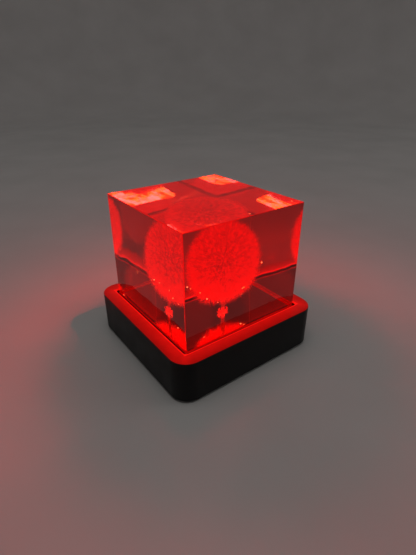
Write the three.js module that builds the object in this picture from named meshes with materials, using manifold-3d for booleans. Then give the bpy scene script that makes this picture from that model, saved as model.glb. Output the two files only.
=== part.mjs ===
// A clear cast block with a dandelion seed head inside, standing in a square battery light base.
// Units are millimetres and +Z is up. The origin is the middle of the base's outline, at the level
// that the feet stand on. The -X and -Y sides are the front; the switch and battery door are at +Y.

import * as THREE from 'three';
import { mergeVertices } from 'three/addons/utils/BufferGeometryUtils.js';
import Module from 'manifold-3d';

// ---------- driving dimensions ----------

const BASE_SIDE = 75;
const BASE_TOP = 20;
const BASE_CORNER_R = 8;
const WALL = 2.2;
const FOOT_HEIGHT = 1;
const FIT = 0.3; // clearance between neighbouring pieces
const SLIP = 0.1; // clearance between faces that rest on each other

const BLOCK_SIDE = 60;
const BLOCK_HEIGHT = 50;
const RECESS_DEPTH = 1.1;
const DECK_THICKNESS = 2.8; // of the base's top under the seat
const SEAT_CLEARANCE = 1.2; // gap all round between the block and the seat's wall
const SEAT_CORNER_R = 1.5;
const WINDOW_SIDE = 32;
const WINDOW_CORNER_R = 6;
const WINDOW_LEDGE = 1.5;

const HEAD_R = 19; // the seed head's outer radius
const HEAD_CORE_R = 8.2; // the space round the seeds, inside the fluff
const HEAD_CHANNEL_R = 6.2; // the way down through the fluff for the stem and bracts
const HEAD_Z = 45.5; // its middle, before the flower leans
const STEM_R = 1.1;
const STEM_FOOT_Z = 20.9;
const FLOWER_LEAN = 6.8; // degrees, forwards, about the foot of the stem
const CURL_COUNT = 6;
const BRACT_COUNT = 12;
const SEED_COUNT = 30;

const LED_COUNT = 6;
const LED_RING_R = 11.5;
const LED_SIDE = 3.5;

const CELL_R = 5.15; // AAA cell
const CELL_LENGTH = 44.5;
const CELL_PITCH = 10.9;
const CELL_COUNT = 3;
const BAY_LENGTH = 50;
const TRAY_WALL = 1.2;

const SLIDER_TRAVEL = 3;
const SCREW_XY = 30.5; // screws and feet sit this far from both centre lines

// ---------- levels worked out from them ----------

const RECESS_FLOOR = BASE_TOP - RECESS_DEPTH;
const BLOCK_BOTTOM = RECESS_FLOOR + SLIP;
const BLOCK_TOP = BLOCK_BOTTOM + BLOCK_HEIGHT;
const DECK_UNDERSIDE = RECESS_FLOOR - DECK_THICKNESS;
const LENS_TOP = RECESS_FLOOR - 0.05;
const LENS_THICKNESS = 0.8;
const LEDGE_TOP = LENS_TOP - LENS_THICKNESS - 0.05;
const LED_BOARD_TOP = DECK_UNDERSIDE - 1.2;
const LED_BOARD_THICKNESS = 0.9;
const INNER_SIDE = BASE_SIDE - 2 * WALL;
const INNER_CORNER_R = BASE_CORNER_R - WALL;

const COVER_BOTTOM = FOOT_HEIGHT + 0.05;
const COVER_TOP = 3.1;
const DOOR_BOTTOM = 1.1;
const DOOR_TOP = 2.5;
const DOOR_HALF_WIDTH = BAY_LENGTH / 2 + 1.3;
const DOOR_FRONT_Y = -18;
const TONGUE_WIDTH = 1.2;
const TONGUE_BOTTOM = 1.95;

const TRAY_BOTTOM = COVER_TOP + 0.05;
const TRAY_ROOF_TOP = LED_BOARD_TOP - LED_BOARD_THICKNESS - SLIP;
const BAY_WIDTH = CELL_COUNT * CELL_PITCH + 0.5;
const BAY_ROOF = TRAY_ROOF_TOP - 0.7;
const CELL_Z = DOOR_TOP + 0.2 + CELL_R;
const CONTACT_THICKNESS = 0.4;
const CONTACT_X = BAY_LENGTH / 2 - SLIP - CONTACT_THICKNESS; // the face that the cells meet

const CONTROL_BOARD_BOTTOM = 5;
const CONTROL_BOARD_TOP = 6;
const PART_SEAT = CONTROL_BOARD_TOP + 0.05; // where the parts on the control board stand
const BOARD_SCREW_X = 15;
const BOARD_SCREW_Y = -30.5;

const LEAD_X = 7.4; // the first of the four leads to the lamp board
const LEAD_PITCH = 1.4;
const LEAD_COUNT = 4;

const SWITCH_Z = 10;
const SWITCH_FRONT_Y = BASE_SIDE / 2 - WALL - 0.5;

// ---------- solids ----------

const wasm = await Module();
wasm.setup();

function toSolid(geometry) {
  const plain = geometry.index ? geometry.toNonIndexed() : geometry.clone();
  plain.deleteAttribute('normal');
  plain.deleteAttribute('uv');
  const merged = mergeVertices(plain, 1e-5);
  return new wasm.Manifold(
    new wasm.Mesh({
      numProp: 3,
      vertProperties: new Float32Array(merged.attributes.position.array),
      triVerts: new Uint32Array(merged.index.array),
    }),
  );
}

function toGeometry(solid) {
  const mesh = solid.getMesh();
  const geometry = new THREE.BufferGeometry();
  geometry.setAttribute('position', new THREE.BufferAttribute(mesh.vertProperties, 3));
  geometry.setIndex(new THREE.BufferAttribute(mesh.triVerts, 1));
  geometry.computeVertexNormals();
  return geometry;
}

// The first geometry, with those in added joined on and those in removed cut away.
function carve(first, added = [], removed = []) {
  let solid = toSolid(first);
  for (const geometry of added) {
    solid = solid.add(toSolid(geometry));
  }
  for (const geometry of removed) {
    solid = solid.subtract(toSolid(geometry));
  }
  return toGeometry(solid);
}

function box(x0, x1, y0, y1, z0, z1) {
  const geometry = new THREE.BoxGeometry(x1 - x0, y1 - y0, z1 - z0);
  return geometry.translate((x0 + x1) / 2, (y0 + y1) / 2, (z0 + z1) / 2);
}

function rod(radius, z0, z1, x = 0, y = 0, sides = 20, topRadius = radius) {
  const geometry = new THREE.CylinderGeometry(topRadius, radius, z1 - z0, sides);
  return geometry.rotateX(Math.PI / 2).translate(x, y, (z0 + z1) / 2);
}

// A square slab with rounded corners, centred on the Z axis.
function slab(side, cornerR, z0, z1, arcSteps = 6, depth = side) {
  const hx = side / 2 - cornerR;
  const hy = depth / 2 - cornerR;
  const outline = new THREE.Shape();
  outline.absarc(hx, -hy, cornerR, -Math.PI / 2, 0);
  outline.absarc(hx, hy, cornerR, 0, Math.PI / 2);
  outline.absarc(-hx, hy, cornerR, Math.PI / 2, Math.PI);
  outline.absarc(-hx, -hy, cornerR, Math.PI, 1.5 * Math.PI);
  const geometry = new THREE.ExtrudeGeometry(outline, {
    depth: z1 - z0,
    bevelEnabled: false,
    curveSegments: arcSteps,
  });
  return geometry.translate(0, 0, z0);
}

// A profile of [radius, z] points, listed anticlockwise, turned about the Z axis.
function turned(profile, sides = 24) {
  const points = profile.map(([r, z]) => new THREE.Vector2(r, z));
  return new THREE.LatheGeometry(points, sides).rotateX(Math.PI / 2);
}

// Points of an arc in the [radius, z] plane; angles are in degrees from the +radius direction.
function arc(r0, z0, radius, from, to, steps) {
  return Array.from({ length: steps + 1 }, (_, i) => {
    const a = THREE.MathUtils.degToRad(from + ((to - from) * i) / steps);
    return [r0 + radius * Math.cos(a), z0 + radius * Math.sin(a)];
  });
}

function wire(points, radius, steps, sides = 6, tension = 0.3) {
  const section = new THREE.Shape();
  for (let i = 0; i < sides; i++) {
    const a = (2 * Math.PI * i) / sides;
    const x = radius * Math.cos(a);
    const y = radius * Math.sin(a);
    if (i === 0) {
      section.moveTo(x, y);
    } else {
      section.lineTo(x, y);
    }
  }
  section.closePath();
  const vectors = points.map((p) => new THREE.Vector3(...p));
  const path = new THREE.CatmullRomCurve3(vectors, false, 'catmullrom', tension);
  return new THREE.ExtrudeGeometry(section, { steps, extrudePath: path, bevelEnabled: false });
}

const corners = [
  [-1, -1],
  [1, -1],
  [1, 1],
  [-1, 1],
];

// ---------- the block and what is cast in it ----------

// Leans a piece of the flower, made upright, forwards about the foot of the stem.
function leaning(geometry) {
  const turn = THREE.MathUtils.degToRad(FLOWER_LEAN);
  return geometry.translate(0, 0, -STEM_FOOT_Z).rotateX(turn).translate(0, 0, STEM_FOOT_Z);
}

// The space for the seed head and stem opens downwards, so that the block isn't a sealed hollow.
function resinBlock() {
  const headR = HEAD_R + 0.4;
  const stemR = STEM_R + FIT;
  const footR = 3.9;
  const footTop = STEM_FOOT_Z + 1.7;
  const neckAngle = THREE.MathUtils.radToDeg(Math.acos(stemR / headR));
  const cavity = turned([
    [0, BLOCK_BOTTOM - 1],
    [footR, BLOCK_BOTTOM - 1],
    [footR, footTop],
    [stemR, footTop],
    ...arc(0, HEAD_Z, headR, -neckAngle, 90, 12).slice(0, -1),
    [0, HEAD_Z + headR],
  ]);
  const block = box(
    -BLOCK_SIDE / 2,
    BLOCK_SIDE / 2,
    -BLOCK_SIDE / 2,
    BLOCK_SIDE / 2,
    BLOCK_BOTTOM,
    BLOCK_TOP,
  );
  return carve(block, [], [leaning(cavity)]);
}

// The fluff of the seed head as one soft ball, hollow round the seeds and open below.
function pappusBall() {
  const inner = THREE.MathUtils.radToDeg(Math.acos(HEAD_CHANNEL_R / HEAD_CORE_R));
  const outer = THREE.MathUtils.radToDeg(Math.acos(HEAD_CHANNEL_R / HEAD_R));
  return turned([
    [0, HEAD_Z + HEAD_CORE_R],
    ...arc(0, HEAD_Z, HEAD_CORE_R, 90, -inner, 6).slice(1),
    ...arc(0, HEAD_Z, HEAD_R, -outer, 90, 11).slice(0, -1),
    [0, HEAD_Z + HEAD_R],
  ]);
}

// One of the strips that a cut dandelion stem splits into, curled outwards and up.
function stemCurl(turn) {
  const curlR = 1.2;
  const section = new THREE.Shape();
  section.moveTo(-0.25, -0.5);
  section.lineTo(0.25, -0.5);
  section.lineTo(0.25, 0.5);
  section.lineTo(-0.25, 0.5);
  section.closePath();
  const points = arc(STEM_R + curlR - 0.2, STEM_FOOT_Z, curlR, 180, 390, 10);
  const path = new THREE.CatmullRomCurve3(points.map(([r, z]) => new THREE.Vector3(r, 0, z)));
  const strip = new THREE.ExtrudeGeometry(section, {
    steps: 10,
    extrudePath: path,
    bevelEnabled: false,
  });
  return strip.rotateZ(turn);
}

function flowerStem() {
  const curls = Array.from({ length: CURL_COUNT }, (_, i) =>
    stemCurl((2 * Math.PI * (i + 0.25)) / CURL_COUNT),
  );
  return carve(rod(STEM_R, STEM_FOOT_Z, HEAD_Z - 2.5, 0, 0, 16), curls);
}

// The round end of the stalk, with seeds pointing out all round it, evenly spread.
function seedReceptacle() {
  const radius = 3.4;
  const flat = -36; // the angle below which the ball is cut flat, in degrees
  const profile = arc(0, HEAD_Z, radius, flat, 90, 7);
  const dome = turned([[0, profile[0][1]], ...profile.slice(0, -1), [0, HEAD_Z + radius]], 16);
  const goldenAngle = Math.PI * (3 - Math.sqrt(5));
  const lowest = Math.cos(THREE.MathUtils.degToRad(100));
  const seeds = Array.from({ length: SEED_COUNT }, (_, i) => {
    const up = 1 - ((1 - lowest) * (i + 0.5)) / SEED_COUNT;
    const across = Math.sqrt(1 - up * up);
    const turn = i * goldenAngle;
    const outwards = new THREE.Vector3(across * Math.cos(turn), across * Math.sin(turn), up);
    const seed = new THREE.OctahedronGeometry(1).scale(0.45, 0.45, 1.6);
    const aim = new THREE.Quaternion().setFromUnitVectors(new THREE.Vector3(0, 0, 1), outwards);
    seed.applyQuaternion(aim);
    const place = outwards.multiplyScalar(radius + 1);
    return seed.translate(place.x, place.y, place.z + HEAD_Z);
  });
  return carve(dome, seeds);
}

// The small leaves folded back along the stem, under the seeds, on the ring that joins them.
function bracts() {
  const length = 11;
  const top = HEAD_Z - 2.7;
  const leaf = new THREE.Shape();
  leaf.moveTo(-0.55, 0);
  leaf.lineTo(0.55, 0);
  leaf.lineTo(0.8, -length * 0.45);
  leaf.lineTo(0, -length);
  leaf.lineTo(-0.8, -length * 0.45);
  leaf.closePath();
  const spread = THREE.MathUtils.degToRad(12);
  const leaves = Array.from({ length: BRACT_COUNT }, (_, i) => {
    const strip = new THREE.ExtrudeGeometry(leaf, { depth: 0.4, bevelEnabled: false });
    strip.rotateX(Math.PI / 2 + spread);
    strip.translate(0, 3.2, top);
    return strip.rotateZ((2 * Math.PI * i) / BRACT_COUNT);
  });
  return carve(rod(3.4, top - 0.7, top, 0, 0, 24), leaves, [rod(2.2, 0, BLOCK_TOP, 0, 0, 16)]);
}

// ---------- the base ----------

function baseHousing() {
  const shell = slab(BASE_SIDE, BASE_CORNER_R, COVER_BOTTOM, BASE_TOP, 8);
  const room = slab(INNER_SIDE, INNER_CORNER_R, 0, DECK_UNDERSIDE, 6);
  const half = BASE_SIDE / 2;
  const openings = [
    slab(BLOCK_SIDE + 2 * SEAT_CLEARANCE, SEAT_CORNER_R, RECESS_FLOOR, BASE_TOP + 1, 4),
    slab(WINDOW_SIDE + 0.4, WINDOW_CORNER_R + 0.2, LEDGE_TOP, BASE_TOP, 5),
    slab(WINDOW_SIDE - 2 * WINDOW_LEDGE, WINDOW_CORNER_R - WINDOW_LEDGE, 10, BASE_TOP, 5),
    // finger dish and slot of the switch
    box(-7, 7, half - 1, half + 1, SWITCH_Z - 3.5, SWITCH_Z + 3.5),
    box(-3.3, 3.3, half - WALL - 1, half + 1, SWITCH_Z - 1.6, SWITCH_Z + 1.6),
    // slot that the battery door slides out through
    box(-DOOR_HALF_WIDTH - 2, DOOR_HALF_WIDTH + 2, half - WALL - 1, half + 1, 0, DOOR_TOP + FIT),
  ];
  const body = carve(shell, [], [room, ...openings]);
  const posts = corners.map(([sx, sy]) =>
    rod(3, COVER_TOP + 0.05, DECK_UNDERSIDE + 0.5, sx * SCREW_XY, sy * SCREW_XY, 16),
  );
  const pilots = corners.map(([sx, sy]) => rod(1.4, 0, 12, sx * SCREW_XY, sy * SCREW_XY, 12));
  return carve(body, posts, pilots);
}

function windowLens() {
  return slab(WINDOW_SIDE, WINDOW_CORNER_R, LENS_TOP - LENS_THICKNESS, LENS_TOP, 5);
}

function reflectorFrame() {
  const bottom = LED_BOARD_TOP + 0.05;
  const top = DECK_UNDERSIDE - 0.05;
  const hole = slab(WINDOW_SIDE - 2.4, 3.8, bottom - 1, top + 1, 4);
  return carve(slab(WINDOW_SIDE + 4, 6, bottom, top, 4), [], [hole]);
}

function ledBoard() {
  const side = WINDOW_SIDE + 6;
  return slab(side, 1.5, LED_BOARD_TOP - LED_BOARD_THICKNESS, LED_BOARD_TOP, 3);
}

// A surface-mounted lamp: square carrier with a low round dome.
function led() {
  const half = LED_SIDE / 2;
  return carve(box(-half, half, -half, half, 0, 0.65), [rod(1.3, 0.6, 0.85, 0, 0, 12, 0.9)]);
}

function bottomCover() {
  const side = INNER_SIDE - 0.4;
  const reach = side / 2 + 1;
  const opening = DOOR_HALF_WIDTH + FIT;
  const groove = opening + TONGUE_WIDTH;
  const removed = [
    box(-opening, opening, DOOR_FRONT_Y - FIT, reach, 0, COVER_TOP + 1),
    box(-groove, groove, DOOR_FRONT_Y - FIT, reach, TONGUE_BOTTOM - 0.15, DOOR_TOP + 0.15),
    ...corners.map(([sx, sy]) => rod(1.5, 0, 4, sx * SCREW_XY, sy * SCREW_XY, 12)),
    ...corners.map(([sx, sy]) =>
      rod(2.9, COVER_BOTTOM - 0.1, COVER_BOTTOM + 1.3, sx * SCREW_XY, sy * SCREW_XY, 12, 1.5),
    ),
  ];
  const plate = carve(slab(side, INNER_CORNER_R - 0.2, COVER_BOTTOM, COVER_TOP, 6), [], removed);
  const post = (x) => rod(2.2, COVER_TOP - 0.5, CONTROL_BOARD_BOTTOM - 0.05, x, BOARD_SCREW_Y, 12);
  const pilot = (x) => rod(0.9, COVER_TOP - 0.8, 6, x, BOARD_SCREW_Y, 10);
  return carve(
    plate,
    [post(-BOARD_SCREW_X), post(BOARD_SCREW_X)],
    [pilot(-BOARD_SCREW_X), pilot(BOARD_SCREW_X)],
  );
}

// Slides out backwards in the cover's grooves; three ribs underneath give a thumb grip.
function batteryDoor() {
  const rear = BASE_SIDE / 2 - 0.3;
  const plate = box(-DOOR_HALF_WIDTH, DOOR_HALF_WIDTH, DOOR_FRONT_Y, rear, DOOR_BOTTOM, DOOR_TOP);
  const edge = DOOR_HALF_WIDTH + TONGUE_WIDTH - FIT;
  const tongues = box(-edge, edge, DOOR_FRONT_Y + 0.5, rear - 3, TONGUE_BOTTOM, DOOR_TOP - 0.05);
  const ribs = [0, 1, 2].map((i) =>
    box(-8, 8, rear - 8.5 + 2.5 * i, rear - 7.3 + 2.5 * i, DOOR_BOTTOM - 0.4, DOOR_BOTTOM + 0.4),
  );
  return carve(plate, [tongues, ...ribs]);
}

// Open-bottomed box over the cells, with a flange that sits on the cover.
function batteryTray() {
  const hx = BAY_LENGTH / 2;
  const hy = BAY_WIDTH / 2;
  const w = TRAY_WALL;
  const shell = box(-hx - w, hx + w, -hy - w, hy + w, TRAY_BOTTOM, TRAY_ROOF_TOP);
  const flange = box(-hx - 5, hx + 5, -hy - 4.3, hy + 4.3, TRAY_BOTTOM, TRAY_BOTTOM + 1);
  const bay = box(-hx, hx, -hy, hy, 0, BAY_ROOF);
  const leadHole = (x, y) => rod(1, -3, 3, 0, 0, 10).rotateY(Math.PI / 2).translate(x, y, 11.8);
  const holes = [leadHole(-hx, -CELL_PITCH), leadHole(hx, CELL_PITCH)];
  return carve(shell, [flange], [bay, ...holes]);
}

// A cell along X; facing is +1 where its raised end points to +X.
function cell(facing) {
  const nub = 1;
  const canStart = CONTACT_X - SLIP - CELL_LENGTH;
  const canEnd = CONTACT_X - SLIP - nub;
  const profile = [
    [0, canStart],
    [CELL_R - 0.5, canStart],
    [CELL_R, canStart + 0.5],
    [CELL_R, canEnd - 0.6],
    [CELL_R - 0.6, canEnd],
    [1.9, canEnd],
    [1.9, canEnd + nub],
    [0, canEnd + nub],
  ];
  return turned(profile, 20).rotateY((facing * Math.PI) / 2);
}

// A cone of wire from the contact at one end of the bay to a cell's flat end.
function contactSpring(facing, y) {
  const turns = 3;
  const perTurn = 10;
  const wireR = 0.3;
  const start = CONTACT_X - wireR - SLIP;
  const end = CONTACT_X - SLIP - (2 * CONTACT_X - 2 * SLIP - CELL_LENGTH) + wireR + 0.2;
  const points = Array.from({ length: turns * perTurn + 1 }, (_, i) => {
    const t = i / (turns * perTurn);
    const a = 2 * Math.PI * turns * t;
    const r = 3.2 - 1.4 * t;
    return [-facing * (start + (end - start) * t), y + r * Math.cos(a), CELL_Z + r * Math.sin(a)];
  });
  return wire(points, wireR, turns * perTurn, 5, 0.5);
}

// A plate at one end of the bay, wide enough for the cells at y0 to y1; it joins two in series.
function contactPlate(side, y0, y1) {
  const half = 4.4;
  const near = Math.min(side * CONTACT_X, side * (CONTACT_X + CONTACT_THICKNESS));
  const far = near + CONTACT_THICKNESS;
  return box(near, far, y0 - half, y1 + half, CELL_Z - half, CELL_Z + half);
}

function coverScrew() {
  const profile = [
    [0, COVER_BOTTOM + 0.05],
    [2.5, COVER_BOTTOM + 0.05],
    [1.15, COVER_BOTTOM + 1.35],
    [1.15, 10.2],
    [0, 11.2],
  ];
  return turned(profile, 12);
}

function rubberFoot() {
  const profile = [
    [0, 0],
    [3.5, 0],
    [3.8, 0.3],
    [3.8, FOOT_HEIGHT],
    [0, FOOT_HEIGHT],
  ];
  return turned(profile, 20);
}

// ---------- the electrics ----------

function controlBoard() {
  const board = box(-18, 18, -33, -20.5, CONTROL_BOARD_BOTTOM, CONTROL_BOARD_TOP);
  const hole = (x) => rod(1.2, 0, 10, x, BOARD_SCREW_Y, 12);
  return carve(board, [], [hole(-BOARD_SCREW_X), hole(BOARD_SCREW_X)]);
}

function boardScrew() {
  const profile = [
    [0, COVER_TOP],
    [0.7, COVER_TOP],
    [0.7, PART_SEAT],
    [1.8, PART_SEAT],
    [1.8, PART_SEAT + 0.7],
    [1.2, PART_SEAT + 1.2],
    [0, PART_SEAT + 1.2],
  ];
  return turned(profile, 12);
}

function controllerChip() {
  const x = -5;
  const y = -26.5;
  const body = box(x - 2.5, x + 2.5, y - 2, y + 2, PART_SEAT + 0.2, PART_SEAT + 1.6);
  const legs = [-1.9, -0.63, 0.63, 1.9].map((step) =>
    box(x + step - 0.2, x + step + 0.2, y - 3, y + 3, PART_SEAT, PART_SEAT + 0.5),
  );
  return carve(body, legs);
}

function capacitor() {
  const profile = [
    [0, PART_SEAT],
    [2.5, PART_SEAT],
    [2.5, PART_SEAT + 0.9],
    [2.3, PART_SEAT + 1.3],
    [2.5, PART_SEAT + 1.7],
    [2.5, PART_SEAT + 6.6],
    [2.2, PART_SEAT + 7],
    [0, PART_SEAT + 7],
  ];
  return turned(profile, 16).translate(3.5, -24.2, 0);
}

function resistor() {
  return box(-0.7, 0.7, -1.2, 1.2, PART_SEAT, PART_SEAT + 0.55);
}

// Header that the lamp leads plug into, with one hole for each lead.
function leadConnector() {
  const block = box(6.2, 12.8, -31.6, -28, PART_SEAT, PART_SEAT + 4.6);
  const holes = Array.from({ length: LEAD_COUNT }, (_, i) =>
    rod(0.65, PART_SEAT + 1.5, PART_SEAT + 6, LEAD_X + LEAD_PITCH * i, -29.8, 8),
  );
  return carve(block, [], holes);
}

function ledLead() {
  const edgeY = -(WINDOW_SIDE + 6) / 2 - 0.4;
  const points = [
    [0, -29.8, PART_SEAT + 1.8],
    [0, -29.8, PART_SEAT + 5.4],
    [0, -28.4, 13.4],
    [0, edgeY, LED_BOARD_TOP - LED_BOARD_THICKNESS / 2],
  ];
  return wire(points, 0.4, 10, 5);
}

function batteryLeadNegative() {
  const points = [
    [-CONTACT_X - CONTACT_THICKNESS - SLIP, -CELL_PITCH, 11.8],
    [-28.5, -CELL_PITCH, 11.8],
    [-31, -16, 10],
    [-25, -27, 8],
    [-17, -27.5, 7.2],
    [-15.5, -27.5, PART_SEAT + 0.7],
  ];
  return wire(points, 0.6, 20, 5);
}

function batteryLeadPositive() {
  const points = [
    [CONTACT_X + CONTACT_THICKNESS + SLIP, CELL_PITCH, 11.8],
    [28.5, CELL_PITCH, 11.8],
    [31, 18, 11.2],
    [22, 26, 10.4],
    [10, 27.3, SWITCH_Z],
    [2.6, 27.4, SWITCH_Z],
  ];
  return wire(points, 0.6, 22, 5);
}

function switchedLead() {
  const points = [
    [0, 27.4, SWITCH_Z],
    [-4, 25.5, 9.6],
    [-22, 25, 8.4],
    [-31.5, 16, 7.6],
    [-32, -10, 7.2],
    [-28, -20.8, 7],
    [-17, -22, PART_SEAT + 0.7],
  ];
  return wire(points, 0.6, 30, 5);
}

function switchBody() {
  const y1 = SWITCH_FRONT_Y;
  const body = box(-4.4, 4.4, y1 - 4, y1, SWITCH_Z - 2.2, SWITCH_Z + 2.2);
  const track = box(-3.5, 3.5, y1 - 2.6, y1 + 1, SWITCH_Z - 1.6, SWITCH_Z + 1.6);
  const pins = [-2.6, 0, 2.6].map((x) =>
    box(x - 0.3, x + 0.3, y1 - 6.6, y1 - 3.8, SWITCH_Z - 0.5, SWITCH_Z + 0.5),
  );
  return carve(body, pins, [track]);
}

// At rest the slider is at its "on" end; it moves towards -X to switch off.
function switchSlider() {
  const x = SLIDER_TRAVEL / 2;
  const y0 = SWITCH_FRONT_Y - 2.3;
  const tip = BASE_SIDE / 2 - 0.2;
  const stalk = box(x - 1.5, x + 1.5, y0, tip, SWITCH_Z - 1.3, SWITCH_Z + 1.3);
  const grooves = [-0.8, 0, 0.8].map((step) =>
    box(x + step - 0.15, x + step + 0.15, tip - 0.3, tip + 1, SWITCH_Z - 2, SWITCH_Z + 2),
  );
  return carve(stalk, [], grooves);
}

// ---------- assembly ----------

const finishes = {
  clearResin: { color: 0xf4f7f8, roughness: 0.04, metalness: 0, transparent: true, opacity: 0.3 },
  fluff: { color: 0xe9e2d6, roughness: 0.9, metalness: 0 },
  stalk: { color: 0x9c8a55, roughness: 0.7, metalness: 0 },
  seed: { color: 0x7a6238, roughness: 0.8, metalness: 0 },
  blackPlastic: { color: 0x121214, roughness: 0.45, metalness: 0 },
  frostedPlastic: { color: 0xf2dcdc, roughness: 0.6, metalness: 0 },
  whitePlastic: { color: 0xf0f0ee, roughness: 0.4, metalness: 0 },
  board: { color: 0x1d5a35, roughness: 0.5, metalness: 0 },
  lamp: { color: 0xff2014, roughness: 0.3, metalness: 0, emissive: 0xff1408 },
  chip: { color: 0x17181a, roughness: 0.55, metalness: 0 },
  sleeve: { color: 0x22304a, roughness: 0.35, metalness: 0 },
  ceramic: { color: 0x2b2622, roughness: 0.5, metalness: 0 },
  cream: { color: 0xe6dfc9, roughness: 0.5, metalness: 0 },
  redWire: { color: 0xb01c18, roughness: 0.45, metalness: 0 },
  blackWire: { color: 0x151515, roughness: 0.45, metalness: 0 },
  greyWire: { color: 0x8d8f92, roughness: 0.45, metalness: 0 },
  cellJacket: { color: 0x35506b, roughness: 0.35, metalness: 0 },
  nickel: { color: 0xb9bcc0, roughness: 0.3, metalness: 1 },
  screwSteel: { color: 0x8f9296, roughness: 0.4, metalness: 1 },
  rubber: { color: 0x1a1a1a, roughness: 0.9, metalness: 0 },
};

const light = new THREE.Group();

function place(name, geometry, finish, x = 0, y = 0, z = 0) {
  const mesh = new THREE.Mesh(geometry, new THREE.MeshStandardMaterial(finishes[finish]));
  mesh.name = name;
  mesh.position.set(x, y, z);
  light.add(mesh);
}

place('resin_block', resinBlock(), 'clearResin');
place('pappus_ball', leaning(pappusBall()), 'fluff');
place('flower_stem', leaning(flowerStem()), 'stalk');
place('seed_receptacle', leaning(seedReceptacle()), 'seed');
place('bracts', leaning(bracts()), 'stalk');

place('base_housing', baseHousing(), 'blackPlastic');
place('window_lens', windowLens(), 'frostedPlastic');
place('reflector_frame', reflectorFrame(), 'whitePlastic');
place('led_board', ledBoard(), 'board');
place('bottom_cover', bottomCover(), 'blackPlastic');
place('battery_door', batteryDoor(), 'blackPlastic');
place('battery_tray', batteryTray(), 'blackPlastic');

for (let i = 0; i < LED_COUNT; i++) {
  const turn = (2 * Math.PI * i) / LED_COUNT;
  const x = LED_RING_R * Math.cos(turn);
  const y = LED_RING_R * Math.sin(turn);
  place(`led_${i + 1}`, led(), 'lamp', x, y, LED_BOARD_TOP + 0.05);
}

for (let i = 0; i < CELL_COUNT; i++) {
  const facing = i % 2 === 0 ? 1 : -1;
  const y = (i - 1) * CELL_PITCH;
  place(`battery_${i + 1}`, cell(facing), 'cellJacket', 0, y, CELL_Z);
  place(`contact_spring_${i + 1}`, contactSpring(facing, y), 'nickel');
}
place('contact_negative', contactPlate(-1, -CELL_PITCH, -CELL_PITCH), 'nickel');
place('contact_positive', contactPlate(1, CELL_PITCH, CELL_PITCH), 'nickel');
place('contact_link_1', contactPlate(1, -CELL_PITCH, 0), 'nickel');
place('contact_link_2', contactPlate(-1, 0, CELL_PITCH), 'nickel');

corners.forEach(([sx, sy], i) => {
  place(`cover_screw_${i + 1}`, coverScrew(), 'screwSteel', sx * SCREW_XY, sy * SCREW_XY);
  place(`rubber_foot_${i + 1}`, rubberFoot(), 'rubber', sx * SCREW_XY, sy * SCREW_XY);
});

place('control_board', controlBoard(), 'board');
place('board_screw_1', boardScrew(), 'screwSteel', -BOARD_SCREW_X, BOARD_SCREW_Y);
place('board_screw_2', boardScrew(), 'screwSteel', BOARD_SCREW_X, BOARD_SCREW_Y);
place('controller_chip', controllerChip(), 'chip');
place('capacitor', capacitor(), 'sleeve');
for (let i = 0; i < 3; i++) {
  place(`resistor_${i + 1}`, resistor(), 'ceramic', -13.3 + 2.4 * i, -24.3);
}
place('lead_connector', leadConnector(), 'cream');
for (let i = 0; i < LEAD_COUNT; i++) {
  place(`led_lead_${i + 1}`, ledLead(), 'greyWire', LEAD_X + LEAD_PITCH * i);
}
place('battery_lead_negative', batteryLeadNegative(), 'blackWire');
place('battery_lead_positive', batteryLeadPositive(), 'redWire');
place('switched_lead', switchedLead(), 'redWire');
place('switch_body', switchBody(), 'chip');
place('switch_slider', switchSlider(), 'chip');

export default light;
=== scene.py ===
"""A light-up display block: a clear cast block with a dandelion seed head in it, on a lit square base.

Sizes are in millimetres and in the CAD frame; meshes are written in metres. Faces -X and -Y are the
front, and the switch and the battery door are at +Y. The lamps are on, and red.
"""

import math
import random

import bmesh
import bpy
from mathutils import Matrix, Vector


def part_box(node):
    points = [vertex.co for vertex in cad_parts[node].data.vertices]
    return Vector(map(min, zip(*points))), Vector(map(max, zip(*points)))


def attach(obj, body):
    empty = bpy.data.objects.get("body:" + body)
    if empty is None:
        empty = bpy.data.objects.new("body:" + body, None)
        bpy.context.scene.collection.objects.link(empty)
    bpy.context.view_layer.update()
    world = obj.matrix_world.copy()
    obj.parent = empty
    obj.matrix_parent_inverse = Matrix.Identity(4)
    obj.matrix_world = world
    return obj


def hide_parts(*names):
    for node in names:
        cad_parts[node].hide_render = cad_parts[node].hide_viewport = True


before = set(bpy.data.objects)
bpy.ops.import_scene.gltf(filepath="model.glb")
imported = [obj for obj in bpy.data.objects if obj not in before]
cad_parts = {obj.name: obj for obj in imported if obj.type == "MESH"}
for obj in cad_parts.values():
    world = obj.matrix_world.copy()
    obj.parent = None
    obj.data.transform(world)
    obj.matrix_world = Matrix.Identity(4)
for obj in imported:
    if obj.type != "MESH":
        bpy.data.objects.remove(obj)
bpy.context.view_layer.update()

MM = 0.001


def box_mm(node_name):
    """Lowest and highest corner of a CAD node, in millimetres."""
    low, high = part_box(node_name)
    return low / MM, high / MM


# ---------- sizes and other driving values ----------

BLOCK_LOW, BLOCK_HIGH = box_mm("resin_block")
BASE_LOW, BASE_HIGH = box_mm("base_housing")
BALL_LOW, BALL_HIGH = box_mm("pappus_ball")
HEAD_R = BALL_HIGH.x
HEAD = Vector((0, (BALL_LOW.y + BALL_HIGH.y) / 2, BALL_HIGH.z - HEAD_R))
STEM_FOOT = Vector((0, 0, 20.9))
LENS_LOW, LENS_HIGH = box_mm("window_lens")
COVER_LOW, COVER_HIGH = box_mm("bottom_cover")
DOOR_LOW, DOOR_HIGH = box_mm("battery_door")
LED_BOARD_HIGH = box_mm("led_board")[1]
CONTROL_BOARD_HIGH = box_mm("control_board")[1]

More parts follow.
